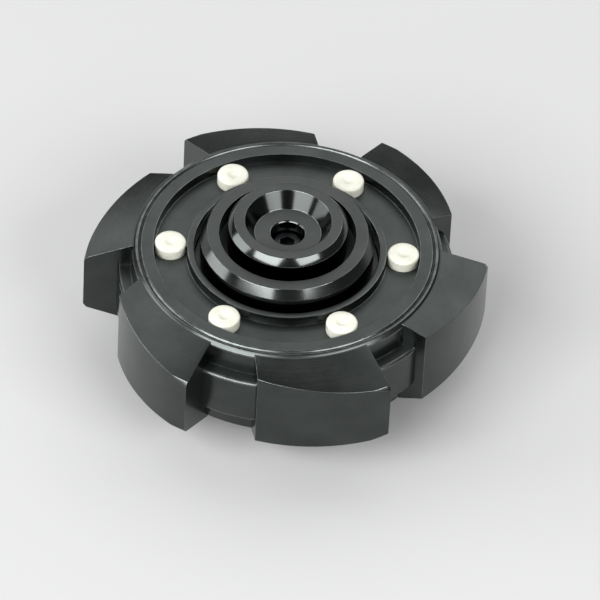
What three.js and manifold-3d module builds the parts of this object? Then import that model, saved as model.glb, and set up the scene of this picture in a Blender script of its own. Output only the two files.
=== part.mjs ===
// Six-toothed fidget spinner with a ball bearing, two stepped finger buttons and glowing inserts.
// Millimetres, +Z up along the spin axis, origin at the middle of the bearing.
// The spinner is the same above and below its middle plane.

import * as THREE from "three";
import { mergeVertices } from "three/addons/utils/BufferGeometryUtils.js";
import Module from "manifold-3d";

const wasm = await Module();
wasm.setup();

const degree = Math.PI / 180;

// ---- Rotor ----
const rotorHeight = 15;          // hub face to hub face
const tipRadius = 28.2;          // circle that the tooth tips were turned to
const rimThickness = 9.4;        // height of the rotor at the tooth tips
const toothCount = 6;
const toothRise = 3.4;           // how far a tooth's outer edge climbs to its tip
const toothEdgeAngle = 40 * degree;
const toothRampAngle = 3 * degree;
const gapAngle = 17 * degree;
const gapLag = 3 * degree;       // how far each gap starts past the insert on its radius
const toothRootDrop = 0.3;       // tooth top below the hub face where it leaves the hub
const tipChamfer = 0.5;

const seatLand = 1.9;            // shoulder round the bearing seat, under the lock ring
const lipWidth = 1.0;            // raised ring round the well
const lipBevel = 0.25;
const channelWidth = 4.6;
const channelDepth = 1.5;
const rimWidth = 1.8;            // flat ring outside the channel
const scoreWidth = 0.4;          // fine turned line round the rim
const scoreDepth = 0.3;
const edgeLand = 0.3;
const hubChamfer = 0.6;
const waistStep = 1.9;           // how far the waist ring stands out of the hub
const waistThickness = 7.2;
const waistChamfer = 0.3;

// ---- Inserts ----
const insertCount = 6;
const insertRadius = 2.2;
const insertHeight = 3.6;
const insertBevel = 0.2;
const dimpleRadius = 0.7;
const dimpleDepth = 0.25;

// ---- Bearing, standard 608 size ----
const bearingRadius = 11;
const bearingBore = 4;           // radius
const bearingWidth = 7;
const ballCount = 7;
const ballRadius = 1.984;
const shoulderOffset = 1.45;     // race shoulders from the ball circle
const shieldRecess = 0.65;
const shieldThickness = 0.3;
const cageHalfWidth = 0.75;
const cageTop = 2.6;
const cageFinger = 1.0;          // how far the cage reaches below the ball centres

// ---- Buttons ----
const buttonGap = 0.8;           // between the button and the well
const buttonFloat = 0.6;         // between the button and the lock ring
const lowerTierRise = 2.8;       // faces above the hub face
const upperTierRise = 5.2;
const lowerChamferWidth = 0.9;
const lowerChamferHeight = 1.3;
const lowerFaceWidth = 1.7;
const grooveWidth = 1.2;
const grooveDepth = 2.3;
const upperChamferWidth = 0.8;
const upperChamferHeight = 1.0;
const topLandWidth = 1.5;
const dishSlopeWidth = 1.35;
const dishDepth = 2.4;
const headClearance = 0.18;      // screw head to the hole it drops into
const holeBevel = 0.2;
const headSeatDepth = 3.9;       // screw seat below the dish floor
const undersideBevel = 0.5;
const bossMargin = 0.2;          // how far the boss reaches past the shim
const spigotLength = 2.3;

// ---- Fasteners and small rings ----
const screwRadius = 1.25;
const screwHeadRadius = 2.05;
const screwHeadHeight = 2.0;
const screwTipInset = 0.2;       // screw end above the lower seat
const socketRadius = 1.15;       // corner radius of the hexagon
const socketDepth = 1.2;
const shimThickness = 0.5;
const shimWidth = 1.4;
const lockRingThickness = 1.2;
const lockRingCover = 1.2;       // how far the lock ring reaches over the outer race
const lockRingBevel = 0.2;
const notchCount = 4;            // spanner notches in the lock ring
const notchWidth = 1.0;
const notchDepth = 0.7;

// ---- Fits ----
const fit = 0.05;                // between turned pieces that seat in each other
const pocketFit = 0.06;
const ballFit = 0.03;
const cageFit = 0.15;
const threadFit = 0.08;
const shieldGap = 0.3;           // shield to inner race

// ---- Mesh fineness ----
const roundSteps = 48;
const smallSteps = 16;
const grooveSteps = 4;
const edgeSteps = 8;             // along a tooth's outer edge
const ballSlices = 12;
const ballStacks = 8;
const mergeReach = 1e-4;
const cutReach = 1;              // how far a cutter passes out of the piece it cuts

// ---- Places worked out from the sizes ----
const hubFace = rotorHeight / 2;
const seatFace = bearingWidth / 2;
const wellRadius = bearingRadius + seatLand;
const channelInner = wellRadius + lipWidth;
const channelOuter = channelInner + channelWidth;
const insertCircle = channelInner + channelWidth / 2;
const scoreInner = channelOuter + rimWidth;
const landInner = scoreInner + scoreWidth;
const landOuter = landInner + edgeLand;
const hubRadius = landOuter + hubChamfer;
const waistRadius = hubRadius + waistStep;
const ballCircle = (bearingRadius + bearingBore) / 2;
const shimOuter = bearingBore + shimWidth;
const bossRadius = shimOuter + bossMargin;
const lockRingInner = bearingRadius - lockRingCover;
const holeRadius = screwHeadRadius + headClearance;
const lockRingTop = seatFace + lockRingThickness;
const shimTop = seatFace + shimThickness;
const buttonUnderside = lockRingTop + buttonFloat;
const buttonRadius = wellRadius - buttonGap;
const dishFloor = hubFace + upperTierRise - dishDepth;
const headSeat = dishFloor - headSeatDepth;

// ---------------------------------------------------------------- materials

function finish(colour, roughness, metalness) {
  return new THREE.MeshStandardMaterial({ color: colour, roughness, metalness });
}

const blackAnodised = () => finish(0x4c514d, 0.38, 0.9);
const blackTurned = () => finish(0x3c403f, 0.25, 0.95);
const bearingSteel = () => finish(0xb8babd, 0.18, 1.0);
const blackSteel = () => finish(0x2a2c2d, 0.35, 0.9);
const brass = () => finish(0xb28d4a, 0.3, 1.0);
const nylon = () => finish(0x2f4a3c, 0.55, 0.0);
const glowResin = () => finish(0xdcdccb, 0.35, 0.0);

// ---------------------------------------------------------------- geometry helpers

// Turns a closed outline of [radius, height] points about Z.
function turned(outline, steps = roundSteps) {
  const points = outline.map(([radius, height]) => new THREE.Vector2(radius, height));
  const geometry = new THREE.LatheGeometry(points, steps);
  geometry.rotateX(Math.PI / 2);
  geometry.rotateZ(-Math.PI / 2);
  return sealed(geometry);
}

// Joins the shared vertices, so that the surface is closed.
function sealed(geometry) {
  const bare = geometry.clone();
  bare.deleteAttribute("normal");
  bare.deleteAttribute("uv");
  const merged = mergeVertices(bare, mergeReach);
  return withoutSlivers(merged);
}

// Drops the triangles that have shrunk to a line at the axis or a seam.
function withoutSlivers(geometry) {
  const source = geometry.index.array;
  const kept = [];
  for (let i = 0; i < source.length; i += 3) {
    const [a, b, c] = [source[i], source[i + 1], source[i + 2]];
    if (a !== b && b !== c && c !== a) kept.push(a, b, c);
  }
  geometry.setIndex(kept);
  return geometry;
}

function toSolid(geometry) {
  const mesh = new wasm.Mesh({
    numProp: 3,
    vertProperties: new Float32Array(geometry.attributes.position.array),
    triVerts: new Uint32Array(geometry.index.array),
  });
  return new wasm.Manifold(mesh);
}

function toGeometry(solid) {
  const mesh = solid.getMesh();
  const geometry = new THREE.BufferGeometry();
  geometry.setAttribute("position", new THREE.BufferAttribute(mesh.vertProperties, 3));
  geometry.setIndex(new THREE.BufferAttribute(mesh.triVerts, 1));
  return geometry;
}

function named(name, geometry, material) {
  const mesh = new THREE.Mesh(geometry, material);
  mesh.name = name;
  return mesh;
}

// The same outline on the other side of the middle plane, still running the same way round.
function mirroredOutline(outline) {
  return outline.map(([radius, height]) => [radius, -height]).reverse();
}

// An outline given from the inside edge at the top to the outside edge at the top,
// completed with its own mirror image below the middle plane.
function doubled(upperHalf) {
  return closedLoop([...mirroredOutline(upperHalf), ...upperHalf]);
}

function closedLoop(outline) {
  return [...outline, outline[0]];
}

function polar(radius, angle) {
  return new THREE.Vector2(radius * Math.cos(angle), radius * Math.sin(angle));
}

// ---------------------------------------------------------------- rotor

// Section of the turned hub: seat, well, lip, channel, rim, score line, edge and waist ring.
function hubOutline() {
  const channelFloor = hubFace - channelDepth;
  const scoreMiddle = (scoreInner + landInner) / 2;
  const waistTop = waistThickness / 2;
  const upperHalf = [
    [waistRadius, waistTop - waistChamfer],
    [waistRadius - waistChamfer, waistTop],
    [hubRadius, waistTop],
    [hubRadius, hubFace - hubChamfer],
    [landOuter, hubFace],
    [landInner, hubFace],
    [scoreMiddle, hubFace - scoreDepth],
    [scoreInner, hubFace],
    [channelOuter, hubFace],
    [channelOuter, channelFloor],
    [channelInner, channelFloor],
    [channelInner, hubFace - lipBevel],
    [channelInner - lipBevel, hubFace],
    [wellRadius + lipBevel, hubFace],
    [wellRadius, hubFace - lipBevel],
    [wellRadius, seatFace],
    [bearingRadius + fit, seatFace],
  ];
  return doubled(upperHalf);
}

// Outer edge of a tooth: an arc about a centre that stands off the axis, so that it climbs to the tip.
function toothEdge(edgeStart) {
  const halfAngle = toothEdgeAngle / 2;
  const middleRadius = tipRadius - toothRise / 2;
  const offset = toothRise / 2 / Math.sin(halfAngle);
  const centreAngle = edgeStart + halfAngle + Math.PI / 2;
  const arcRadius = Math.hypot(middleRadius, offset * Math.cos(halfAngle));
  const points = [];
  for (let i = 0; i <= edgeSteps; i += 1) {
    const angle = edgeStart + toothEdgeAngle * i / edgeSteps;
    const turn = angle - centreAngle;
    const across = offset * Math.sin(turn);
    const radius = offset * Math.cos(turn) + Math.sqrt(arcRadius ** 2 - across ** 2);
    points.push(polar(radius, angle));
  }
  return points;
}

// One saw tooth and the gap before it, from the foot of the last tooth's steep side.
function toothPoints(startAngle) {
  const rootRadius = (landInner + hubRadius) / 2;
  return [
    polar(rootRadius, startAngle),
    polar(rootRadius, startAngle + gapAngle / 2),
    polar(rootRadius, startAngle + gapAngle),
    ...toothEdge(startAngle + gapAngle + toothRampAngle),
  ];
}

function toothedPlate() {
  const pitch = 2 * Math.PI / toothCount;
  const points = [];
  for (let i = 0; i < toothCount; i += 1) {
    points.push(...toothPoints(i * pitch + gapLag));
  }
  const shape = new THREE.Shape(points);
  const settings = { depth: rotorHeight, bevelEnabled: false };
  const geometry = new THREE.ExtrudeGeometry(shape, settings);
  geometry.translate(0, 0, -rotorHeight / 2);
  return toSolid(sealed(geometry));
}

// The sloping top and bottom that the teeth are turned to, as a ring inside the hub's own wall.
function toothEnvelope() {
  const rootTop = hubFace - toothRootDrop;
  const rimTop = rimThickness / 2;
  const upperHalf = [
    [tipRadius, rimTop - tipChamfer],
    [tipRadius - tipChamfer, rimTop],
    [hubRadius, rootTop],
    [scoreInner, rootTop],
  ];
  return toSolid(turned(doubled(upperHalf)));
}

// Pocket for one insert, cut from the channel floor on the given side.
function insertPocket(angle, side) {
  const depth = insertHeight + pocketFit;
  const radius = insertRadius + pocketFit;
  const geometry = new THREE.CylinderGeometry(radius, radius, depth + cutReach, smallSteps);
  geometry.rotateX(Math.PI / 2);
  geometry.translate(insertCircle, 0, side * (hubFace + (cutReach - depth) / 2));
  geometry.rotateZ(angle);
  return toSolid(sealed(geometry));
}

function insertAngles() {
  return Array.from({ length: insertCount }, (_, i) => i * 2 * Math.PI / insertCount);
}

function rotorBody() {
  const teeth = toothedPlate().intersect(toothEnvelope());
  let body = toSolid(turned(hubOutline())).add(teeth);
  for (const angle of insertAngles()) {
    body = body.subtract(insertPocket(angle, 1));
    body = body.subtract(insertPocket(angle, -1));
  }
  return named("rotor_body", toGeometry(body), blackAnodised());
}

// Round glowing pin with a small dimple in its end.
function insertGeometry() {
  const bottom = hubFace - insertHeight;
  return turned([
    [0, bottom],
    [insertRadius, bottom],
    [insertRadius, hubFace - insertBevel],
    [insertRadius - insertBevel, hubFace],
    [dimpleRadius, hubFace],
    [0, hubFace - dimpleDepth],
  ], smallSteps);
}

function inserts() {
  const meshes = [];
  insertAngles().forEach((angle, i) => {
    for (const [label, turnOver] of [["top", 0], ["bottom", Math.PI]]) {
      const mesh = named(`insert_${label}_${i + 1}`, insertGeometry(), glowResin());
      mesh.rotation.set(turnOver, 0, 0);
      mesh.position.set(insertCircle * Math.cos(angle), insertCircle * Math.sin(angle), 0);
      meshes.push(mesh);
    }
  });
  return meshes;
}

// ---------------------------------------------------------------- bearing

// Groove that the balls run in, from one shoulder to the other.
function grooveArc(shoulder, towardsAxis) {
  const radius = ballRadius + ballFit;
  const halfAngle = Math.acos(Math.abs(shoulder - ballCircle) / radius);
  const points = [];
  for (let i = 0; i <= grooveSteps; i += 1) {
    const angle = -halfAngle + 2 * halfAngle * i / grooveSteps;
    const reach = radius * Math.cos(angle);
    points.push([ballCircle + (towardsAxis ? -reach : reach), radius * Math.sin(angle)]);
  }
  return points;
}

function innerRace() {
  const shoulder = ballCircle - shoulderOffset;
  const outline = [
    [bearingBore, -seatFace],
    [shoulder, -seatFace],
    ...grooveArc(shoulder, true),
    [shoulder, seatFace],
    [bearingBore, seatFace],
  ];
  return named("bearing_inner_race", turned(closedLoop(outline)), bearingSteel());
}

function shieldSeatRadius() {
  return ballCircle + shoulderOffset + shieldRecess;
}

function outerRace() {
  const shoulder = ballCircle + shoulderOffset;
  const recess = shieldSeatRadius();
  const recessFace = seatFace - shieldThickness - shieldRecess;
  const outline = [
    [bearingRadius, -seatFace],
    [bearingRadius, seatFace],
    [recess, seatFace],
    [recess, recessFace],
    [shoulder, recessFace],
    ...grooveArc(shoulder, false).reverse(),
    [shoulder, -recessFace],
    [recess, -recessFace],
    [recess, -seatFace],
  ];
  return named("bearing_outer_race", turned(closedLoop(outline)), bearingSteel());
}

function shield(name, side) {
  const inner = ballCircle - shoulderOffset + shieldGap;
  const outer = shieldSeatRadius() - fit;
  const top = seatFace - shieldThickness;
  const bottom = top - shieldThickness;
  const outline = [[inner, bottom], [outer, bottom], [outer, top], [inner, top]];
  const placed = side > 0 ? outline : mirroredOutline(outline);
  return named(name, turned(closedLoop(placed)), bearingSteel());
}

function ballAngles() {
  return Array.from({ length: ballCount }, (_, i) => i * 2 * Math.PI / ballCount);
}

function balls() {
  return ballAngles().map((angle, i) => {
    const sphere = sealed(new THREE.SphereGeometry(ballRadius, ballSlices, ballStacks));
    const mesh = named(`bearing_ball_${i + 1}`, sphere, bearingSteel());
    mesh.position.set(ballCircle * Math.cos(angle), ballCircle * Math.sin(angle), 0);
    return mesh;
  });
}

// Crown cage: a ring over the balls with fingers reaching down between them.
function cage() {
  const outline = [
    [ballCircle - cageHalfWidth, -cageFinger],
    [ballCircle + cageHalfWidth, -cageFinger],
    [ballCircle + cageHalfWidth, cageTop],
    [ballCircle - cageHalfWidth, cageTop],
  ];
  let body = toSolid(turned(closedLoop(outline)));
  for (const angle of ballAngles()) {
    const pocket = new THREE.SphereGeometry(ballRadius + cageFit, ballSlices, ballStacks);
    pocket.translate(ballCircle, 0, 0);
    pocket.rotateZ(angle);
    body = body.subtract(toSolid(sealed(pocket)));
  }
  return named("bearing_cage", toGeometry(body), nylon());
}

// Threaded ring that holds the outer race in its seat, with notches for a pin spanner.
function lockRing(name, side) {
  const outer = wellRadius - fit;
  const outline = [
    [lockRingInner, seatFace],
    [outer, seatFace],
    [outer, lockRingTop - lockRingBevel],
    [outer - lockRingBevel, lockRingTop],
    [lockRingInner, lockRingTop],
  ];
  const placed = side > 0 ? outline : mirroredOutline(outline);
  let body = toSolid(turned(closedLoop(placed)));
  for (let i = 0; i < notchCount; i += 1) {
    const notchHeight = 2 * (lockRingThickness + cutReach);
    const notch = new THREE.BoxGeometry(2 * notchDepth, notchWidth, notchHeight);
    notch.translate(lockRingInner, 0, side * (seatFace + lockRingThickness));
    notch.rotateZ((i + 0.5) * 2 * Math.PI / notchCount);
    body = body.subtract(toSolid(sealed(notch)));
  }
  return named(name, toGeometry(body), blackSteel());
}

function shim(name, side) {
  const outline = [
    [bearingBore, seatFace],
    [shimOuter, seatFace],
    [shimOuter, shimTop],
    [bearingBore, shimTop],
  ];
  const placed = side > 0 ? outline : mirroredOutline(outline);
  return named(name, turned(closedLoop(placed)), brass());
}

// ---------------------------------------------------------------- buttons and screw

// Two-tier button: spigot and boss below, then skirt, lower tier, groove, upper tier and dish.
function buttonOutline(boreRadius) {
  const lowerFace = hubFace + lowerTierRise;
  const topFace = hubFace + upperTierRise;
  const lowerFaceOuter = buttonRadius - lowerChamferWidth;
  const grooveOuter = lowerFaceOuter - lowerFaceWidth;
  const tierRadius = grooveOuter - grooveWidth;
  const topOuter = tierRadius - upperChamferWidth;
  const dishRim = topOuter - topLandWidth;
  const spigotRadius = bearingBore - fit;
  const spigotEnd = shimTop - shimThickness - spigotLength;
  return [
    [boreRadius, spigotEnd],
    [spigotRadius, spigotEnd],
    [spigotRadius, shimTop],
    [bossRadius, shimTop],
    [bossRadius, buttonUnderside],
    [buttonRadius - undersideBevel, buttonUnderside],
    [buttonRadius, buttonUnderside + undersideBevel],
    [buttonRadius, lowerFace - lowerChamferHeight],
    [lowerFaceOuter, lowerFace],
    [grooveOuter, lowerFace],
    [grooveOuter, lowerFace - grooveDepth],
    [tierRadius, lowerFace - grooveDepth],
    [tierRadius, topFace - upperChamferHeight],
    [topOuter, topFace],
    [dishRim, topFace],
    [dishRim - dishSlopeWidth, dishFloor],
    [holeRadius + holeBevel, dishFloor],
    [holeRadius, dishFloor - holeBevel],
    [holeRadius, headSeat],
    [boreRadius, headSeat],
  ];
}

function upperButton() {
  const outline = buttonOutline(screwRadius + 2 * threadFit);
  return named("upper_button", turned(closedLoop(outline)), blackTurned());
}

function lowerButton() {
  const outline = mirroredOutline(buttonOutline(screwRadius + threadFit));
  return named("lower_button", turned(closedLoop(outline)), blackTurned());
}

// Cap screw that clamps the two buttons on the inner race, head down in the upper button's hole.
function clampScrew() {
  const seat = headSeat + fit;
  const headTop = seat + screwHeadHeight;
  const tip = -headSeat + screwTipInset;
  const body = toSolid(turned([
    [0, tip],
    [screwRadius - screwTipInset, tip],
    [screwRadius, tip + screwTipInset],
    [screwRadius, seat],
    [screwHeadRadius, seat],
    [screwHeadRadius, headTop - screwTipInset],
    [screwHeadRadius - screwTipInset, headTop],
    [0, headTop],
  ]));
  const socket = new THREE.CylinderGeometry(socketRadius, socketRadius, 2 * socketDepth, 6);
  socket.rotateX(Math.PI / 2);
  socket.translate(0, 0, headTop);
  const cut = body.subtract(toSolid(sealed(socket)));
  return named("clamp_screw", toGeometry(cut), blackSteel());
}

// ---------------------------------------------------------------- assembly

const spinner = new THREE.Group();

const stationary = new THREE.Group();
stationary.add(upperButton(), lowerButton(), clampScrew(), innerRace());
stationary.add(shim("upper_shim", 1), shim("lower_shim", -1));

const spinning = new THREE.Group();
spinning.add(rotorBody(), ...inserts(), outerRace());
spinning.add(lockRing("upper_lock_ring", 1), lockRing("lower_lock_ring", -1));
spinning.add(shield("upper_shield", 1), shield("lower_shield", -1));

const rolling = new THREE.Group();
rolling.add(cage(), ...balls());

spinner.add(stationary, spinning, rolling);

export default spinner;
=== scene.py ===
from math import acos, atan2, cos, hypot, pi, radians, sin, tan

import bpy
from mathutils import Matrix, Vector


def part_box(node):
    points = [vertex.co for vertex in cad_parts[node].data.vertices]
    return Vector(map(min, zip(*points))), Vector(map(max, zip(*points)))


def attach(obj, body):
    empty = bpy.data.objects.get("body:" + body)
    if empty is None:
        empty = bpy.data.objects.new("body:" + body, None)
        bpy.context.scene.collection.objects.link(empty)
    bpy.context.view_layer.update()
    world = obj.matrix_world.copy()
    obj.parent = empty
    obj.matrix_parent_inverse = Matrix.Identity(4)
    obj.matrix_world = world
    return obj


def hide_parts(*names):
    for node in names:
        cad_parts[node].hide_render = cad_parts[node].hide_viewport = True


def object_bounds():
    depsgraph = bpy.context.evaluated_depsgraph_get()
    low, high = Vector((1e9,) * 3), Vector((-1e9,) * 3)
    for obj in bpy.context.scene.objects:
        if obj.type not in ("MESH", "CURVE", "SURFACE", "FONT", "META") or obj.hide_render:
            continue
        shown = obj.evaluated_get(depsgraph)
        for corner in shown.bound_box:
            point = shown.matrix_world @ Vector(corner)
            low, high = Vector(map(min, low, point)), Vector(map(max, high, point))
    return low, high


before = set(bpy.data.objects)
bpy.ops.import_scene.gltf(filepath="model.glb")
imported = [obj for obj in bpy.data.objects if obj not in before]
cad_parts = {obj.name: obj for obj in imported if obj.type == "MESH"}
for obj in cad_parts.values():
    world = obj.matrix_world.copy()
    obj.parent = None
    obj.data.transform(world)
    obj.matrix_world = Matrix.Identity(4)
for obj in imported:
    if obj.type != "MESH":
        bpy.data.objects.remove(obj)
cad_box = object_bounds()

MM = 0.001

# ---------------------------------------------------------------- sizes taken from the frame, in mm

rotor_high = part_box("rotor_body")[1]
button_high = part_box("upper_button")[1]
race_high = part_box("bearing_outer_race")[1]
ring_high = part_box("upper_lock_ring")[1]
shim_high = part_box("upper_shim")[1]
shield_low, shield_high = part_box("upper_shield")
insert_low, insert_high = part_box("insert_top_1")
ball_low, ball_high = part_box("bearing_ball_1")
cage_low, cage_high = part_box("bearing_cage")
screw_low, screw_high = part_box("clamp_screw")

HUB_FACE = rotor_high.z / MM
BUTTON_FACE = button_high.z / MM
BUTTON_RADIUS = button_high.x / MM
RACE_RADIUS = race_high.x / MM
SEAT_FACE = race_high.z / MM
RING_TOP = ring_high.z / MM
SHIM_TOP = shim_high.z / MM
SHIM_RADIUS = shim_high.x / MM
SHIELD_RADIUS = shield_high.x / MM
SHIELD_BOTTOM = shield_low.z / MM
SHIELD_TOP = shield_high.z / MM
INSERT_BOTTOM = insert_low.z / MM
INSERT_RADIUS = (insert_high.y - insert_low.y) / 2 / MM
INSERT_CIRCLE = (insert_high.x + insert_low.x) / 2 / MM
BALL_RADIUS = (ball_high.z - ball_low.z) / 2 / MM
BALL_CIRCLE = (ball_high.x + ball_low.x) / 2 / MM
CAGE_RADIUS = cage_high.x / MM
CAGE_TOP = cage_high.z / MM
CAGE_BOTTOM = cage_low.z / MM
SCREW_TOP = screw_high.z / MM
SCREW_TIP = screw_low.z / MM

# ---------------------------------------------------------------- sizes of its own, in mm

TEETH = 6
TOOTH_PITCH = 2 * pi / TEETH
TIP_RADIUS = 28.15  # just inside the frame's own, so that the rounded tips stay in its box
TOOTH_RISE = 3.4
TOOTH_EDGE_ANGLE = radians(40)
TOOTH_RAMP_ANGLE = radians(3)
GAP_ANGLE = radians(17)
GAP_LAG = radians(3)
RIM_HALF = 4.7
TIP_CHAMFER = 0.5
TOOTH_ROOT_DROP = 0.3
TOOTH_ROUNDING = 0.28
HUB_ROUNDING = 0.14
BUTTON_ROUNDING = 0.06

WELL_RADIUS = RACE_RADIUS + 1.9
LIP_WIDTH = 1.0
CHANNEL_WIDTH = 4.6
CHANNEL_DEPTH = 1.5
RIM_WIDTH = 1.8
SCORE_WIDTH = 0.4
SCORE_DEPTH = 0.3
EDGE_LAND = 0.3
HUB_CHAMFER = 0.6
WAIST_STEP = 1.9
WAIST_HALF = 3.6
WAIST_CHAMFER = 0.3
FIT = 0.05
POCKET_FIT = 0.06

CHANNEL_INNER = WELL_RADIUS + LIP_WIDTH
CHANNEL_OUTER = CHANNEL_INNER + CHANNEL_WIDTH
SCORE_INNER = CHANNEL_OUTER + RIM_WIDTH
LAND_INNER = SCORE_INNER + SCORE_WIDTH
LAND_OUTER = LAND_INNER + EDGE_LAND
HUB_RADIUS = LAND_OUTER + HUB_CHAMFER
WAIST_RADIUS = HUB_RADIUS + WAIST_STEP

FINE_STEPS = 240
STEPS = 192
SMALL_STEPS = 64
TOOTH_STEPS = 32


# ---------------------------------------------------------------- modelling helpers

def deselect():
    if bpy.context.mode != "OBJECT":
        bpy.ops.object.mode_set(mode="OBJECT")
    bpy.ops.object.select_all(action="DESELECT")


def take(*objects):
    """Makes these the only selected objects, the last one active."""
    deselect()
    for piece in objects:
        piece.select_set(True)
    bpy.context.view_layer.objects.active = objects[-1]
    return objects[-1]


def settle(piece):
    """Puts the piece's place, turn and scale into its mesh."""
    take(piece)
    bpy.ops.object.transform_apply(location=True, rotation=True, scale=True)
    return piece


def turned(name, outline, steps=STEPS, closed=True):
    """A ring drawn up and out through [radius, height] points in mm, as a lathe would turn it.
    A closed outline joins its last ring to its first; an open one is capped at both ends."""
    deselect()
    radius, height = outline[0]
    bpy.ops.mesh.primitive_circle_add(vertices=steps, radius=radius * MM)
    piece = bpy.context.object
    piece.name = piece.data.name = name
    bpy.ops.object.mode_set(mode="EDIT")
    bpy.ops.mesh.select_mode(type="EDGE")
    bpy.ops.mesh.select_all(action="SELECT")
    bpy.ops.transform.translate(value=(0, 0, height * MM))
    for next_radius, next_height in outline[1:]:
        lift = (0, 0, (next_height - height) * MM)
        bpy.ops.mesh.extrude_region_move(TRANSFORM_OT_translate={"value": lift})
        spread = next_radius / radius
        bpy.ops.transform.resize(value=(spread, spread, 1), center_override=(0, 0, 0))
        radius, height = next_radius, next_height
    if closed:
        bpy.ops.mesh.select_all(action="DESELECT")
        bpy.ops.mesh.select_non_manifold()
        bpy.ops.mesh.bridge_edge_loops()
    else:
        bpy.ops.mesh.select_all(action="SELECT")
        bpy.ops.mesh.fill_holes(sides=0)
    tidy_in_edit_mode()
    return piece


def tidy_in_edit_mode(reach=1e-7):
    """Merges doubles, turns every face outwards and leaves edit mode."""
    bpy.ops.mesh.select_all(action="SELECT")
    bpy.ops.mesh.remove_doubles(threshold=reach)
    bpy.ops.mesh.normals_make_consistent(inside=False)
    bpy.ops.object.mode_set(mode="OBJECT")


def apply_modifier(piece, modifier):
    take(piece)
    bpy.ops.object.modifier_apply(modifier=modifier.name)


def bevel(piece, width, segments=2, angle=20):
    """Rounds every edge that is sharper than the angle; width in mm.
    The rounded faces are marked in the piece's "edge" attribute, where the finish rubs thin and a painted
    edge highlight lightens the colour."""
    body = piece.data
    body.materials.append(None)
    body.materials.append(None)
    rounding = piece.modifiers.new("rounding", "BEVEL")
    rounding.width = width * MM
    rounding.segments = segments
    rounding.limit_method = "ANGLE"
    rounding.angle_limit = radians(angle)
    rounding.miter_outer = "MITER_ARC"
    rounding.material = 1
    apply_modifier(piece, rounding)
    marks = body.attributes.get("edge") or body.attributes.new("edge", "FLOAT", "FACE")
    for face in body.polygons:
        if face.material_index == 1:
            marks.data[face.index].value = 1.0
        face.material_index = 0
    body.materials.clear()
    return piece


def combine(piece, other, operation):
    """Joins or cuts the piece with the other solid, which is used up."""
    cutting = piece.modifiers.new("cutting", "BOOLEAN")
    cutting.operation = operation
    cutting.solver = "EXACT"
    cutting.object = other
    apply_modifier(piece, cutting)
    bpy.data.objects.remove(other)
    return piece


def smooth(piece, angle=40):
    """Smooth shading that keeps flat faces flat and the sharp corners sharp."""
    take(piece)
    bpy.ops.object.shade_smooth_by_angle(angle=radians(angle))
    weighting = piece.modifiers.new("weighting", "WEIGHTED_NORMAL")
    weighting.keep_sharp = True
    weighting.weight = 60
    apply_modifier(piece, weighting)
    return piece


def copy_of(piece, name):
    deselect()
    twin = piece.copy()
    twin.data = piece.data.copy()
    twin.name = twin.data.name = name
    bpy.context.collection.objects.link(twin)
    return twin


def turned_round(piece, angle):
    """Turns the piece's mesh about the spin axis."""
    piece.data.transform(Matrix.Rotation(angle, 4, "Z"))
    return piece


def flipped(piece):
    """Turns the piece's mesh over, end for end, about the X axis."""
    piece.data.transform(Matrix.Rotation(pi, 4, "X"))
    return piece


def both_sides(upper_half):
    """An outline of the upper half, from outside to inside, completed with its mirror image."""
    lower_half = [(radius, -height) for radius, height in reversed(upper_half)]
    return upper_half + lower_half


def fitted(piece, body, slot, *nodes):
    """Says what the finished piece rides on and what it stands for; the slot, where its finish comes from,
    is not used.
    """
    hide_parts(*nodes)
    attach(piece, body)
    return piece


def painted(piece, material):
    piece.data.materials.clear()
    piece.data.materials.append(material)
    return piece


# ---------------------------------------------------------------- materials

def new_material(name):
    material = bpy.data.materials.new(name)
    material.use_nodes = True
    nodes = material.node_tree.nodes
    shader = nodes["Principled BSDF"]
    return material, nodes, material.node_tree.links, shader


def new_group(name, inputs, outputs):
    """A shader node group with float inputs {name: default} and outputs {name: socket type}."""
    group = bpy.data.node_groups.new(name, "ShaderNodeTree")
    for label, default in inputs.items():
        kind = "NodeSocketColor" if isinstance(default, tuple) else "NodeSocketFloat"
        socket = group.interface.new_socket(label, in_out="INPUT", socket_type=kind)
        socket.default_value = default
    for label, kind in outputs.items():
        group.interface.new_socket(label, in_out="OUTPUT", socket_type=kind)
    start = group.nodes.new("NodeGroupInput")
    end = group.nodes.new("NodeGroupOutput")
    return group, start, end


def use_group(nodes, group, **values):
    node = nodes.new("ShaderNodeGroup")
    node.node_tree = group
    for label, value in values.items():
        node.inputs[label.replace("_", " ")].default_value = value
    return node


def maths(tree, operation, first, second=0.0, clamp=False):
    """A Math node; each operand is a number or a socket."""
    node = tree.nodes.new("ShaderNodeMath")
    node.operation = operation
    node.use_clamp = clamp
    for socket, operand in zip(node.inputs, (first, second)):
        if isinstance(operand, (int, float)):
            socket.default_value = operand
        else:
            tree.links.new(operand, socket)
    return node.outputs[0]


def noise(tree, vector, scale, detail=3.0, roughness=0.5):
    node = tree.nodes.new("ShaderNodeTexNoise")
    node.inputs["Scale"].default_value = scale
    node.inputs["Detail"].default_value = detail
    node.inputs["Roughness"].default_value = roughness
    tree.links.new(vector, node.inputs["Vector"])
    return node.outputs["Fac"]


def remapped(tree, value, low, high, new_low, new_high):
    node = tree.nodes.new("ShaderNodeMapRange")
    tree.links.new(value, node.inputs["Value"])
    for label, number in (("From Min", low), ("From Max", high)):
        node.inputs[label].default_value = number
    for label, number in (("To Min", new_low), ("To Max", new_high)):
        if isinstance(number, (int, float)):
            node.inputs[label].default_value = number
        else:
            tree.links.new(number, node.inputs[label])
    return node.outputs["Result"]


def mixed(tree, factor, first, second):
    """A colour between two colours; each is a colour or a socket."""
    node = tree.nodes.new("ShaderNodeMix")
    node.data_type = "RGBA"
    sockets = [s for s in node.inputs if s.type == "RGBA"]
    tree.links.new(factor, node.inputs[0])
    for socket, operand in zip(sockets, (first, second)):
        if isinstance(operand, tuple):
            socket.default_value = operand
        else:
            tree.links.new(operand, socket)
    return [s for s in node.outputs if s.type == "RGBA"][0]


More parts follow.
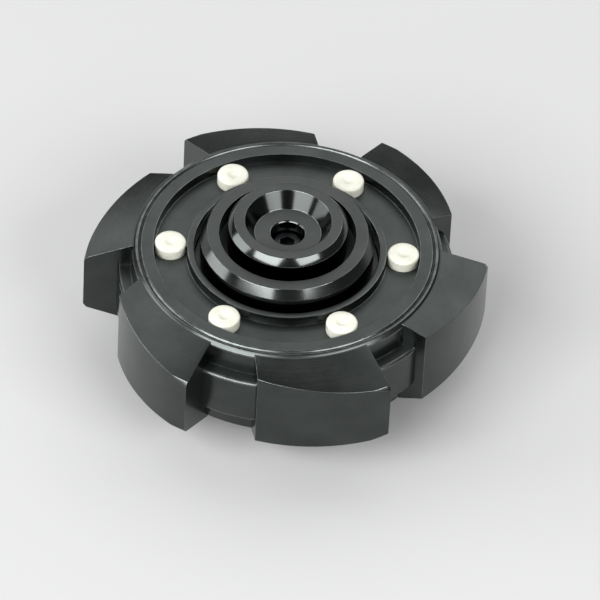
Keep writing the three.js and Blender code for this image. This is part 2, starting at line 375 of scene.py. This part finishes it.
def lathe_lines_group():
    """Fine rings round the spin axis, as a lathe tool leaves them, and the grain over them."""
    group, start, end = new_group(
        "lathe_lines",
        {"Line Density": 9000.0, "Line Depth": 0.6, "Grain Size": 6000.0, "Grain Depth": 0.4},
        {"Height": "NodeSocketFloat", "Streaks": "NodeSocketFloat"},
    )
    place = group.nodes.new("ShaderNodeTexCoord")
    parts = group.nodes.new("ShaderNodeSeparateXYZ")
    group.links.new(place.outputs["Object"], parts.inputs[0])
    across = maths(group, "MULTIPLY", parts.outputs["X"], parts.outputs["X"])
    along = maths(group, "MULTIPLY", parts.outputs["Y"], parts.outputs["Y"])
    radius = maths(group, "SQRT", maths(group, "ADD", across, along))
    slant = maths(group, "ADD", radius, maths(group, "MULTIPLY", parts.outputs["Z"], 0.83))
    lines = group.nodes.new("ShaderNodeTexNoise")
    lines.noise_dimensions = "1D"
    lines.inputs["Scale"].default_value = 1.0
    lines.inputs["Detail"].default_value = 2.0
    pitch = maths(group, "MULTIPLY", slant, start.outputs["Line Density"])
    group.links.new(pitch, lines.inputs["W"])
    grain = group.nodes.new("ShaderNodeTexNoise")
    grain.inputs["Detail"].default_value = 2.0
    group.links.new(place.outputs["Object"], grain.inputs["Vector"])
    group.links.new(start.outputs["Grain Size"], grain.inputs["Scale"])
    line_height = maths(group, "MULTIPLY", lines.outputs["Fac"], start.outputs["Line Depth"])
    grain_height = maths(group, "MULTIPLY", grain.outputs["Fac"], start.outputs["Grain Depth"])
    group.links.new(maths(group, "ADD", line_height, grain_height), end.inputs["Height"])
    group.links.new(lines.outputs["Fac"], end.inputs["Streaks"])
    return group


def handling_and_shade_group():
    """Where edges are rubbed bright, partly wear and partly a painted edge highlight; where hands leave the
    finish duller; and where the recesses get painted shade.
    """
    group, start, end = new_group(
        "handling_and_shade",
        {"Rub_Highlight": 0.8, "Patch Size": 160.0},
        {"Edges": "NodeSocketFloat", "Patches": "NodeSocketFloat", "Recess": "NodeSocketFloat"},
    )
    marks = group.nodes.new("ShaderNodeAttribute")
    marks.attribute_name = "edge"
    # The recess attribute carries painted shade for the groove and the dish's wall.
    hollows = group.nodes.new("ShaderNodeAttribute")
    hollows.attribute_name = "recess"
    group.links.new(hollows.outputs["Fac"], end.inputs["Recess"])
    place = group.nodes.new("ShaderNodeTexCoord")
    broken = noise(group, place.outputs["Object"], 900.0, 4.0, 0.6)
    uneven = remapped(group, broken, 0.35, 0.65, 0.25, 1.0)
    # Edges lighter where rubbed: partly wear, partly a painted edge highlight.
    rubbed_and_highlit = maths(group, "MULTIPLY", marks.outputs["Fac"], uneven)
    edges = maths(group, "MULTIPLY", rubbed_and_highlit, start.outputs["Rub_Highlight"], clamp=True)
    patches = group.nodes.new("ShaderNodeTexNoise")
    patches.inputs["Detail"].default_value = 4.0
    patches.inputs["Roughness"].default_value = 0.6
    group.links.new(place.outputs["Object"], patches.inputs["Vector"])
    group.links.new(start.outputs["Patch Size"], patches.inputs["Scale"])
    group.links.new(edges, end.inputs["Edges"])
    group.links.new(patches.outputs["Fac"], end.inputs["Patches"])
    return group


def flatness_group():
    """1 on faces that lie flat across the spin axis, 0 on slopes and walls."""
    group, start, end = new_group("flatness", {"Steepest": 0.93}, {"Flat": "NodeSocketFloat"})
    place = group.nodes.new("ShaderNodeTexCoord")
    parts = group.nodes.new("ShaderNodeSeparateXYZ")
    group.links.new(place.outputs["Normal"], parts.inputs[0])
    upright = maths(group, "ABSOLUTE", parts.outputs["Z"])
    spread = group.nodes.new("ShaderNodeMapRange")
    group.links.new(upright, spread.inputs["Value"])
    group.links.new(start.outputs["Steepest"], spread.inputs["From Min"])
    spread.inputs["From Max"].default_value = 0.995
    group.links.new(spread.outputs["Result"], end.inputs["Flat"])
    return group


SLOPE_RELIEF = 0.12  # how much of the flats' grain the slopes keep
# Painted shade: the black that the colour in the marked recesses is darkened towards.
RECESS_SHADE_BLACK = (0.012, 0.013, 0.013, 1)
LATHE_LINES = lathe_lines_group()
HANDLING_AND_SHADE = handling_and_shade_group()
FLATNESS = flatness_group()


def machined_metal(name, dark, light, worn_and_highlit, slope_rough, flat_rough, bump, density, grain):
    """Anodised or bare turned metal: flats with a satin grain, slopes brighter, edges rubbed light as wear
    and painted highlight, recesses darkened with painted shade.
    """
    material, nodes, links, shader = new_material(name)
    tree = material.node_tree
    lines = use_group(nodes, LATHE_LINES, Line_Density=density, Grain_Depth=grain)
    handling_and_shade = use_group(nodes, HANDLING_AND_SHADE)
    flat = use_group(nodes, FLATNESS)
    shade = remapped(tree, handling_and_shade.outputs["Patches"], 0.35, 0.7, 0.0, 1.0)
    body = mixed(tree, shade, dark, light)
    # Rubbed edges lighter: partly wear, partly a painted edge highlight.
    colour = mixed(tree, handling_and_shade.outputs["Edges"], body, worn_and_highlit)
    # Painted shade: colour darkened towards black in the marked recesses.
    shade_painted = mixed(tree, handling_and_shade.outputs["Recess"], colour, RECESS_SHADE_BLACK)
    links.new(shade_painted, shader.inputs["Base Color"])
    level = remapped(tree, flat.outputs["Flat"], 0.0, 1.0, slope_rough, flat_rough)
    streaked = maths(tree, "MULTIPLY_ADD", lines.outputs["Streaks"], 0.10)
    streaked.node.inputs[2].default_value = -0.05
    patched = maths(tree, "MULTIPLY", handling_and_shade.outputs["Patches"], 0.08)
    rough = maths(tree, "ADD", maths(tree, "ADD", level, streaked), patched, clamp=True)
    links.new(rough, shader.inputs["Roughness"])
    relief = nodes.new("ShaderNodeBump")
    relief.inputs["Strength"].default_value = bump
    relief.inputs["Distance"].default_value = 0.00002
    texture = remapped(tree, flat.outputs["Flat"], 0.0, 1.0, SLOPE_RELIEF, 1.0)
    links.new(maths(tree, "MULTIPLY", lines.outputs["Height"], texture), relief.inputs["Height"])
    links.new(relief.outputs["Normal"], shader.inputs["Normal"])
    shader.inputs["Metallic"].default_value = 1.0
    return material


def black_anodised():
    return machined_metal(
        "black_anodised", (0.052, 0.058, 0.056, 1), (0.072, 0.079, 0.077, 1),
        (0.17, 0.18, 0.18, 1), 0.20, 0.38, 0.5, 3600.0, 1.4,
    )


def black_turned():
    return machined_metal(
        "black_turned", (0.058, 0.063, 0.061, 1), (0.074, 0.080, 0.078, 1),
        (0.20, 0.21, 0.21, 1), 0.11, 0.38, 0.5, 4200.0, 1.3,
    )


def bearing_steel():
    return machined_metal(
        "bearing_steel", (0.50, 0.51, 0.53, 1), (0.60, 0.61, 0.63, 1),
        (0.75, 0.76, 0.78, 1), 0.12, 0.20, 0.15, 12000.0, 0.2,
    )


def black_steel():
    return machined_metal(
        "black_steel", (0.045, 0.047, 0.050, 1), (0.070, 0.072, 0.076, 1),
        (0.18, 0.18, 0.19, 1), 0.28, 0.34, 0.25, 8000.0, 0.6,
    )


def shim_brass():
    return machined_metal(
        "shim_brass", (0.48, 0.32, 0.12, 1), (0.62, 0.44, 0.19, 1),
        (0.78, 0.62, 0.34, 1), 0.22, 0.30, 0.25, 9000.0, 0.4,
    )


def cage_nylon():
    """Moulded nylon: faint mottling and a soft matt surface."""
    material, nodes, links, shader = new_material("cage_nylon")
    tree = material.node_tree
    place = nodes.new("ShaderNodeTexCoord").outputs["Object"]
    cloud = noise(tree, place, 900.0, 4.0, 0.6)
    tone = mixed(tree, cloud, (0.035, 0.062, 0.048, 1), (0.065, 0.105, 0.082, 1))
    links.new(tone, shader.inputs["Base Color"])
    links.new(remapped(tree, cloud, 0.3, 0.7, 0.45, 0.62), shader.inputs["Roughness"])
    relief = nodes.new("ShaderNodeBump")
    relief.inputs["Strength"].default_value = 0.2
    relief.inputs["Distance"].default_value = 0.00003
    links.new(noise(tree, place, 6000.0), relief.inputs["Height"])
    links.new(relief.outputs["Normal"], shader.inputs["Normal"])
    return material


def glow_resin():
    """Cast pale resin, slightly cloudy, with light passing a little way into it."""
    material, nodes, links, shader = new_material("glow_resin")
    tree = material.node_tree
    place = nodes.new("ShaderNodeTexCoord").outputs["Object"]
    cloud = noise(tree, place, 420.0, 5.0, 0.55)
    specks = noise(tree, place, 5200.0, 2.0, 0.5)
    blended = maths(tree, "ADD", maths(tree, "MULTIPLY", cloud, 0.75), maths(tree, "MULTIPLY", specks, 0.25))
    spread = remapped(tree, blended, 0.35, 0.65, 0.0, 1.0)
    tone = mixed(tree, spread, (0.52, 0.52, 0.44, 1), (0.62, 0.62, 0.55, 1))
    links.new(tone, shader.inputs["Base Color"])
    links.new(remapped(tree, cloud, 0.3, 0.7, 0.24, 0.40), shader.inputs["Roughness"])
    relief = nodes.new("ShaderNodeBump")
    relief.inputs["Strength"].default_value = 0.25
    relief.inputs["Distance"].default_value = 0.00004
    links.new(cloud, relief.inputs["Height"])
    links.new(relief.outputs["Normal"], shader.inputs["Normal"])
    shader.inputs["Subsurface Weight"].default_value = 0.35
    shader.inputs["Subsurface Radius"].default_value = (0.9, 0.9, 0.7)
    shader.inputs["Subsurface Scale"].default_value = 0.0012
    shader.inputs["IOR"].default_value = 1.5
    return material


def pale_floor():
    material, nodes, links, shader = new_material("pale_floor")
    tree = material.node_tree
    place = nodes.new("ShaderNodeTexCoord").outputs["Object"]
    cloud = noise(tree, place, 6.0, 2.0, 0.4)
    links.new(mixed(tree, cloud, (0.43, 0.43, 0.433, 1), (0.47, 0.47, 0.47, 1)), shader.inputs["Base Color"])
    shader.inputs["Roughness"].default_value = 0.75
    shader.inputs["Specular IOR Level"].default_value = 0.2
    return material


ROTOR_BLACK = black_anodised()
BUTTON_BLACK = black_turned()
STEEL = bearing_steel()
BLACK_STEEL = black_steel()
BRASS = shim_brass()
NYLON = cage_nylon()
RESIN = glow_resin()


# ---------------------------------------------------------------- rotor

def hub_outline():
    """Section of the hub from the foot of the seat, over the lip, channel and rim, to the waist."""
    channel_floor = HUB_FACE - CHANNEL_DEPTH
    score_middle = (SCORE_INNER + LAND_INNER) / 2
    outside_in = [
        (WAIST_RADIUS, WAIST_HALF - WAIST_CHAMFER),
        (WAIST_RADIUS - WAIST_CHAMFER, WAIST_HALF),
        (HUB_RADIUS, WAIST_HALF),
        (HUB_RADIUS, HUB_FACE - HUB_CHAMFER),
        (LAND_OUTER, HUB_FACE),
        (LAND_INNER, HUB_FACE),
        (score_middle, HUB_FACE - SCORE_DEPTH),
        (SCORE_INNER, HUB_FACE),
        (CHANNEL_OUTER, HUB_FACE),
        (CHANNEL_OUTER, channel_floor),
        (CHANNEL_INNER, channel_floor),
        (CHANNEL_INNER, HUB_FACE),
        (WELL_RADIUS, HUB_FACE),
        (WELL_RADIUS, SEAT_FACE),
        (RACE_RADIUS + FIT, SEAT_FACE),
    ]
    return both_sides(outside_in)


def hub():
    """The rotor without its teeth, its corners broken as the tool leaves them."""
    return bevel(turned("rotor", hub_outline(), FINE_STEPS), HUB_ROUNDING, 2, 25)


def tooth():
    """One saw tooth: a tapered section swept round the axis, cut to its climbing outer edge,
    then sliced along the ramp."""
    root = LAND_INNER
    root_top = HUB_FACE - TOOTH_ROOT_DROP
    deselect()
    bpy.ops.mesh.primitive_plane_add(size=1, rotation=(pi / 2, 0, 0))
    piece = bpy.context.object
    piece.name = piece.data.name = "tooth"
    width = TIP_RADIUS - HUB_RADIUS
    piece.scale = (width * MM, 2 * RIM_HALF * MM, 1)
    piece.location = ((HUB_RADIUS + TIP_RADIUS) / 2 * MM, 0, 0)
    settle(piece)
    bpy.ops.object.mode_set(mode="EDIT")
    bpy.ops.mesh.select_mode(type="EDGE")
    select_edges(piece, lambda point: point.x < (HUB_RADIUS + 0.1) * MM)
    bpy.ops.transform.resize(value=(1, 1, root_top / RIM_HALF), center_override=(0, 0, 0))
    inwards = ((root - HUB_RADIUS) * MM, 0, 0)
    bpy.ops.mesh.extrude_region_move(TRANSFORM_OT_translate={"value": inwards})
    bpy.ops.mesh.select_mode(type="VERT")
    select_points(piece, lambda point: point.x > (TIP_RADIUS - 0.1) * MM)
    bpy.ops.mesh.bevel(offset=TIP_CHAMFER * MM, offset_type="OFFSET", segments=1, affect="VERTICES")
    bpy.ops.mesh.select_all(action="SELECT")
    sweep = TOOTH_RAMP_ANGLE + TOOTH_EDGE_ANGLE
    bpy.ops.mesh.spin(steps=TOOTH_STEPS, angle=sweep, center=(0, 0, 0), axis=(0, 0, 1))
    tidy_in_edit_mode()
    start = GAP_ANGLE + GAP_LAG
    turned_round(piece, start - min_angle(piece.data.vertices))
    corner_angle = start + TOOTH_RAMP_ANGLE
    combine(piece, outer_edge(corner_angle), "INTERSECT")
    corner = Vector((cos(corner_angle), sin(corner_angle), 0)) * (TIP_RADIUS - TOOTH_RISE)
    foot_radius = (LAND_INNER + HUB_RADIUS) / 2
    foot = Vector((cos(start), sin(start), 0)) * foot_radius
    along = (corner - foot).normalized()
    slice_off(piece, foot, Vector((along.y, -along.x, 0)) * ramp_side(along, start))
    bevel(piece, TOOTH_ROUNDING, 3, 25)
    return piece


def outer_edge(edge_start):
    """A disc that stands off the axis, whose rim is the edge climbing from a tooth's foot to its tip."""
    half = TOOTH_EDGE_ANGLE / 2
    offset = TOOTH_RISE / 2 / sin(half)
    radius = hypot(TIP_RADIUS - TOOTH_RISE / 2, offset * cos(half))
    towards = edge_start + half + pi / 2
    deselect()
    bpy.ops.mesh.primitive_cylinder_add(
        vertices=FINE_STEPS, radius=radius * MM, depth=4 * RIM_HALF * MM,
        location=(offset * cos(towards) * MM, offset * sin(towards) * MM, 0),
    )
    return settle(bpy.context.object)


def min_angle(points):
    return min(atan2(point.co.y, point.co.x) for point in points)


def ramp_side(along, start):
    """Which way off the ramp is the gap: back towards smaller angles."""
    sideways = Vector((along.y, -along.x, 0))
    tangent = Vector((-sin(start), cos(start), 0))
    return -1 if sideways.dot(tangent) > 0 else 1


def select_points(piece, wanted):
    """Selects the points, in edit mode, whose place passes the test."""
    bpy.ops.object.mode_set(mode="OBJECT")
    for polygon in piece.data.polygons:
        polygon.select = False
    for edge in piece.data.edges:
        edge.select = False
    for vertex in piece.data.vertices:
        vertex.select = wanted(vertex.co)
    bpy.ops.object.mode_set(mode="EDIT")


def select_edges(piece, wanted):
    """Selects the edges, in edit mode, both of whose ends pass the test."""
    bpy.ops.object.mode_set(mode="OBJECT")
    points = piece.data.vertices
    for item in (*piece.data.polygons, *points):
        item.select = False
    for edge in piece.data.edges:
        edge.select = all(wanted(points[i].co) for i in edge.vertices)
        if edge.select:
            for i in edge.vertices:
                points[i].select = True
    bpy.ops.object.mode_set(mode="EDIT")


def slice_off(piece, point, outward):
    """Cuts the piece along a plane, given in mm, and closes the cut."""
    take(piece)
    bpy.ops.object.mode_set(mode="EDIT")
    bpy.ops.mesh.select_mode(type="VERT")
    bpy.ops.mesh.select_all(action="SELECT")
    bpy.ops.mesh.bisect(
        plane_co=point * MM, plane_no=outward, use_fill=True, clear_outer=True, threshold=1e-7,
    )
    tidy_in_edit_mode()


def pocket_cutters():
    """Twelve round pins that cut the inserts' pockets in both channels."""
    pins = []
    depth = HUB_FACE - INSERT_BOTTOM + POCKET_FIT
    for side in (1, -1):
        for i in range(TEETH):
            angle = i * TOOTH_PITCH
            deselect()
            bpy.ops.mesh.primitive_cylinder_add(
                vertices=SMALL_STEPS, radius=(INSERT_RADIUS + POCKET_FIT) * MM, depth=2 * depth * MM,
                location=(INSERT_CIRCLE * cos(angle) * MM, INSERT_CIRCLE * sin(angle) * MM,
                          side * HUB_FACE * MM),
                rotation=(0, 0, angle + 0.4 * pi / SMALL_STEPS),
            )
            pins.append(settle(bpy.context.object))
    take(*pins)
    bpy.ops.object.join()
    return bpy.context.object


def rotor():
    body = hub()
    first = tooth()
    teeth = [first]
    for i in range(1, TEETH):
        teeth.append(turned_round(copy_of(first, f"tooth_{i}"), i * TOOTH_PITCH))
    take(*teeth)
    bpy.ops.object.join()
    combine(body, bpy.context.object, "UNION")
    combine(body, pocket_cutters(), "DIFFERENCE")
    smooth(body, 38)
    painted(body, ROTOR_BLACK)
    return fitted(body, "rotor", "rotor_black", "rotor_body")


rotor()


# ---------------------------------------------------------------- inserts

def insert_pin():
    """A glowing pin stood on the spin axis: round shoulder and a small dimple in its end."""
    outline = [
        (INSERT_RADIUS - 0.1, INSERT_BOTTOM),
        (INSERT_RADIUS, INSERT_BOTTOM + 0.1),
        (INSERT_RADIUS, HUB_FACE - 0.3),
        (INSERT_RADIUS - 0.09, HUB_FACE - 0.09),
        (INSERT_RADIUS - 0.3, HUB_FACE),
        (0.95, HUB_FACE),
        (0.80, HUB_FACE - 0.03),
        (0.55, HUB_FACE - 0.13),
        (0.30, HUB_FACE - 0.20),
        (0.10, HUB_FACE - 0.23),
    ]
    return smooth(turned("insert", outline, SMALL_STEPS, closed=False), 50)


def inserts():
    pin = insert_pin()
    painted(pin, RESIN)
    for i in range(TEETH):
        angle = i * TOOTH_PITCH
        place = Matrix.Translation((INSERT_CIRCLE * MM, 0, 0))
        for label, side in (("top", 1), ("bottom", -1)):
            piece = copy_of(pin, f"glow_{label}_{i + 1}")
            piece.data.transform(place)
            if side < 0:
                flipped(piece)
            turned_round(piece, angle)
            fitted(piece, "rotor", "glow_resin", f"insert_{label}_{i + 1}")
    bpy.data.objects.remove(pin)


inserts()


# ---------------------------------------------------------------- bearing

SHOULDER = 1.45
GROOVE_FIT = 0.03


def groove(towards_axis, steps=12):
    """Ball groove from the lower shoulder to the upper one."""
    radius = BALL_RADIUS + GROOVE_FIT
    half = acos(SHOULDER / radius)
    side = -1 if towards_axis else 1
    angles = [-half + 2 * half * i / steps for i in range(steps + 1)]
    return [(BALL_CIRCLE + side * radius * cos(a), radius * sin(a)) for a in angles]


def inner_race():
    bore = BALL_CIRCLE * 2 - RACE_RADIUS
    shoulder = BALL_CIRCLE - SHOULDER
    outline = [
        (bore, -SEAT_FACE), (shoulder, -SEAT_FACE), *groove(True), (shoulder, SEAT_FACE),
        (bore, SEAT_FACE),
    ]
    piece = bevel(turned("inner_race", outline), 0.12, 2, 40)
    painted(smooth(piece), STEEL)
    return fitted(piece, "hub", "bearing_steel", "bearing_inner_race")


def outer_race():
    shoulder = BALL_CIRCLE + SHOULDER
    recess = SHIELD_RADIUS + FIT
    recess_face = SHIELD_BOTTOM - 0.35
    outline = [
        (RACE_RADIUS, -SEAT_FACE), (recess, -SEAT_FACE), (recess, -recess_face),
        (shoulder, -recess_face), *groove(False), (shoulder, recess_face),
        (recess, recess_face), (recess, SEAT_FACE), (RACE_RADIUS, SEAT_FACE),
    ]
    piece = bevel(turned("outer_race", outline), 0.10, 2, 40)
    painted(smooth(piece), STEEL)
    return fitted(piece, "rotor", "bearing_steel", "bearing_outer_race")


def shields():
    inner = BALL_CIRCLE - SHOULDER + 0.3
    rib_in, rib_out = inner + 0.7, SHIELD_RADIUS - 0.6
    sink = 0.08
    outline = [
        (inner, SHIELD_BOTTOM), (inner, SHIELD_TOP), (rib_in, SHIELD_TOP),
        (rib_in + 0.12, SHIELD_TOP - sink), (rib_out - 0.12, SHIELD_TOP - sink),
        (rib_out, SHIELD_TOP), (SHIELD_RADIUS, SHIELD_TOP), (SHIELD_RADIUS, SHIELD_BOTTOM),
    ]
    upper = painted(smooth(bevel(turned("shield_top", outline), 0.04, 2, 30)), STEEL)
    lower = flipped(copy_of(upper, "shield_bottom"))
    fitted(upper, "rotor", "bearing_steel", "upper_shield")
    fitted(lower, "rotor", "bearing_steel", "lower_shield")


def ball():
    """A cube divided finely and rounded to a true ball on the ball circle."""
    deselect()
    bpy.ops.mesh.primitive_cube_add(size=2 * BALL_RADIUS * MM)
    piece = bpy.context.object
    piece.name = piece.data.name = "ball"
    bpy.ops.object.mode_set(mode="EDIT")
    bpy.ops.mesh.select_all(action="SELECT")
    bpy.ops.mesh.subdivide(number_cuts=15)
    bpy.ops.object.mode_set(mode="OBJECT")
    for vertex in piece.data.vertices:
        vertex.co = vertex.co.normalized() * BALL_RADIUS * MM
    piece.data.transform(Matrix.Translation((BALL_CIRCLE * MM, 0, 0)))
    take(piece)
    bpy.ops.object.shade_smooth()
    return painted(piece, STEEL)


def balls_and_cage():
    first = ball()
    count = sum(name.startswith("bearing_ball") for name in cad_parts)
    for i in range(count):
        piece = copy_of(first, f"ball_{i + 1}")
        turned_round(piece, i * 2 * pi / count)
        fitted(piece, "cage", "bearing_steel", f"bearing_ball_{i + 1}")
    half = CAGE_RADIUS - BALL_CIRCLE
    outline = [
        (BALL_CIRCLE - half, CAGE_BOTTOM), (BALL_CIRCLE - half, CAGE_TOP),
        (BALL_CIRCLE + half, CAGE_TOP), (BALL_CIRCLE + half, CAGE_BOTTOM),
    ]
    piece = bevel(turned("ball_cage", outline), 0.12, 2, 40)
    pockets = []
    for i in range(count):
        pocket = copy_of(first, f"pocket_{i}")
        centre = Matrix.Translation((BALL_CIRCLE * MM, 0, 0))
        grow = 1 + 0.15 / BALL_RADIUS
        pocket.data.transform(centre @ Matrix.Scale(grow, 4) @ centre.inverted())
        pockets.append(turned_round(pocket, i * 2 * pi / count))
    take(*pockets)
    bpy.ops.object.join()
    combine(piece, bpy.context.object, "DIFFERENCE")
    bpy.data.objects.remove(first)
    painted(smooth(piece, 35), NYLON)
    return fitted(piece, "cage", "cage_nylon", "bearing_cage")


def lock_rings():
    inner = RACE_RADIUS - 1.2
    outer = WELL_RADIUS - FIT
    outline = [(inner, SEAT_FACE), (inner, RING_TOP), (outer, RING_TOP), (outer, SEAT_FACE)]
    upper = bevel(turned("lock_ring_top", outline), 0.14, 2, 40)
    for i in range(4):
        angle = (i + 0.5) * pi / 2
        deselect()
        bpy.ops.mesh.primitive_cube_add(size=1, rotation=(0, 0, angle),
                                        location=(inner * cos(angle) * MM, inner * sin(angle) * MM,
                                                  SEAT_FACE * MM))
        notch = bpy.context.object
        notch.scale = (1.4 * MM, 1.0 * MM, 8 * MM)
        combine(upper, settle(notch), "DIFFERENCE")
    painted(smooth(upper, 35), BLACK_STEEL)
    lower = flipped(copy_of(upper, "lock_ring_bottom"))
    fitted(upper, "rotor", "black_steel", "upper_lock_ring")
    fitted(lower, "rotor", "black_steel", "lower_lock_ring")


def shims():
    bore = BALL_CIRCLE * 2 - RACE_RADIUS
    outline = [(bore, SEAT_FACE), (bore, SHIM_TOP), (SHIM_RADIUS, SHIM_TOP), (SHIM_RADIUS, SEAT_FACE)]
    upper = painted(smooth(bevel(turned("shim_top", outline), 0.06, 2, 40)), BRASS)
    lower = flipped(copy_of(upper, "shim_bottom"))
    fitted(upper, "hub", "brass", "upper_shim")
    fitted(lower, "hub", "brass", "lower_shim")


inner_race()
outer_race()
shields()
balls_and_cage()
lock_rings()
shims()


# ---------------------------------------------------------------- buttons and screw

LOWER_FACE = HUB_FACE + 2.8
DISH_FLOOR = BUTTON_FACE - 2.4
HEAD_SEAT = DISH_FLOOR - 3.9
LOWER_FACE_RADIUS = BUTTON_RADIUS - 0.9
GROOVE_RADIUS = LOWER_FACE_RADIUS - 1.7
TIER_RADIUS = GROOVE_RADIUS - 1.2
TOP_RADIUS = TIER_RADIUS - 0.8
DISH_RADIUS = TOP_RADIUS - 1.5
DISH_FLOOR_RADIUS = DISH_RADIUS - 1.35
HOLE_RADIUS = 2.23
GROOVE_DEPTH = 2.6  # 0.3 more than in the frame
# Painted shade: how far the groove and the dish's wall are darkened towards black.
GROOVE_PAINTED_SHADE = 1.0
DISH_PAINTED_SHADE = 0.62
SCREW_RADIUS = 1.25
HEAD_RADIUS = 2.05


def button_outline(bore):
    """Section from the spigot inside the bearing, round the skirt and both tiers, to the hole."""
    spigot = BALL_CIRCLE * 2 - RACE_RADIUS - FIT
    underside = RING_TOP + 0.6
    return [
        (bore, SEAT_FACE - 2.3),
        (spigot, SEAT_FACE - 2.3),
        (spigot, SHIM_TOP),
        (SHIM_RADIUS + 0.2, SHIM_TOP),
        (SHIM_RADIUS + 0.2, underside),
        (BUTTON_RADIUS - 0.5, underside),
        (BUTTON_RADIUS, underside + 0.5),
        (BUTTON_RADIUS, LOWER_FACE - 1.3),
        (LOWER_FACE_RADIUS, LOWER_FACE),
        (GROOVE_RADIUS, LOWER_FACE),
        (GROOVE_RADIUS, LOWER_FACE - GROOVE_DEPTH),
        (TIER_RADIUS, LOWER_FACE - GROOVE_DEPTH),
        (TIER_RADIUS, BUTTON_FACE - 1.0),
        (TOP_RADIUS, BUTTON_FACE),
        (DISH_RADIUS, BUTTON_FACE),
        (DISH_FLOOR_RADIUS, DISH_FLOOR),
        (HOLE_RADIUS + 0.2, DISH_FLOOR),
        (HOLE_RADIUS, DISH_FLOOR - 0.2),
        (HOLE_RADIUS, HEAD_SEAT),
        (bore, HEAD_SEAT),
    ]


def mark_recess_shade(piece):
    """Marks the groove and the dish's wall for painted shade, which darkens their colour towards black."""
    marks = piece.data.attributes.new("recess", "FLOAT", "FACE")
    for face in piece.data.polygons:
        radius = face.center.xy.length / MM
        height = abs(face.center.z) / MM
        in_groove = TIER_RADIUS - 0.1 < radius < GROOVE_RADIUS + 0.1
        in_dish = DISH_FLOOR_RADIUS + 0.1 < radius < DISH_RADIUS - 0.1
        if in_groove and RING_TOP + 1.0 < height < LOWER_FACE - 0.1:
            marks.data[face.index].value = GROOVE_PAINTED_SHADE
        elif in_dish and DISH_FLOOR + 0.1 < height < BUTTON_FACE - 0.1:
            marks.data[face.index].value = DISH_PAINTED_SHADE


def buttons():
    upper = turned("button_top", button_outline(SCREW_RADIUS + 0.16))
    lower = flipped(turned("button_bottom", button_outline(SCREW_RADIUS + 0.08)))
    for piece, node in ((upper, "upper_button"), (lower, "lower_button")):
        bevel(piece, BUTTON_ROUNDING, 2, 20)
        # Groove and dish wall marked for painted shade.
        mark_recess_shade(piece)
        painted(smooth(piece), BUTTON_BLACK)
        fitted(piece, "hub", "button_black", node)


def clamp_screw():
    """Cap screw with a hexagon socket, its head down in the upper button's hole."""
    seat = HEAD_SEAT + FIT
    outline = [
        (SCREW_RADIUS - 0.2, SCREW_TIP),
        (SCREW_RADIUS, SCREW_TIP + 0.2),
        (SCREW_RADIUS, seat),
        (HEAD_RADIUS, seat),
        (HEAD_RADIUS, SCREW_TOP - 0.2),
        (HEAD_RADIUS - 0.2, SCREW_TOP),
    ]
    piece = bevel(turned("cap_screw", outline, 96, closed=False), 0.05, 2, 30)
    deselect()
    bpy.ops.mesh.primitive_cylinder_add(vertices=6, radius=1.15 * MM, depth=2.4 * MM,
                                        location=(0, 0, SCREW_TOP * MM))
    combine(piece, settle(bpy.context.object), "DIFFERENCE")
    painted(smooth(piece, 35), BLACK_STEEL)
    return fitted(piece, "hub", "black_steel", "clamp_screw")


buttons()
clamp_screw()


# ---------------------------------------------------------------- floor, lights and camera

def floor():
    deselect()
    bpy.ops.mesh.primitive_plane_add(size=6, location=(0, 0, cad_box[0].z))
    ground = bpy.context.object
    ground.name = "floor"
    settle(ground)
    painted(ground, pale_floor())


def panel_light(name, azimuth, elevation, width, height, strength, distance=1.5):
    """A soft panel facing the spinner; width and height are the angles it fills, in degrees."""
    data = bpy.data.lights.new(name, "AREA")
    data.shape = "RECTANGLE"
    data.size = 2 * distance * tan(radians(width / 2))
    data.size_y = 2 * distance * tan(radians(height / 2))
    data.energy = strength * pi * data.size * data.size_y
    light = bpy.data.objects.new(name, data)
    bpy.context.collection.objects.link(light)
    a, e = radians(azimuth), radians(elevation)
    place = Vector((cos(a) * cos(e), sin(a) * cos(e), sin(e))) * distance
    light.location = place
    light.rotation_euler = place.to_track_quat("Z", "Y").to_euler()
    light.visible_camera = False
    return light


def studio():
    panel_light("front_left_panel", 233, 38, 42, 32, 9.5)
    panel_light("front_right_panel", 313, 36, 34, 24, 8.5)
    panel_light("left_panel", 178, 17, 34, 34, 5.0)
    panel_light("far_panel", 90, 52, 90, 56, 1.45)
    world = bpy.data.worlds.new("studio")
    bpy.context.scene.world = world
    world.use_nodes = True
    world.node_tree.nodes["Background"].inputs["Color"].default_value = (0.97, 0.98, 1.0, 1)
    world.node_tree.nodes["Background"].inputs["Strength"].default_value = 0.16
    bpy.context.scene.view_settings.view_transform = "Standard"


def camera():
    """Long lens, 45 degrees above the floor, a little rolled, with the hub left of and above the middle."""
    elevation, roll = radians(45), radians(3)
    lens, sensor = 450, 36
    frame_width = 83.3 * MM
    aim_right, aim_down = 1.8 * MM, 7.36 * MM
    distance = frame_width * lens / sensor
    forward = Vector((0, cos(elevation), -sin(elevation)))
    level_right = Vector((1, 0, 0))
    level_up = level_right.cross(forward)
    right = level_right * cos(roll) + level_up * sin(roll)
    up = right.cross(forward)
    aim = Vector((0, 0, HUB_FACE * MM)) + right * aim_right - up * aim_down
    data = bpy.data.cameras.new("camera")
    data.lens = lens
    data.sensor_width = sensor
    data.clip_start = 0.01
    data.clip_end = 20
    viewer = bpy.data.objects.new("camera", data)
    bpy.context.collection.objects.link(viewer)
    axes = Matrix((right, up, -forward)).transposed().to_4x4()
    viewer.matrix_world = Matrix.Translation(aim - forward * distance) @ axes
    bpy.context.scene.camera = viewer


floor()
studio()
camera()
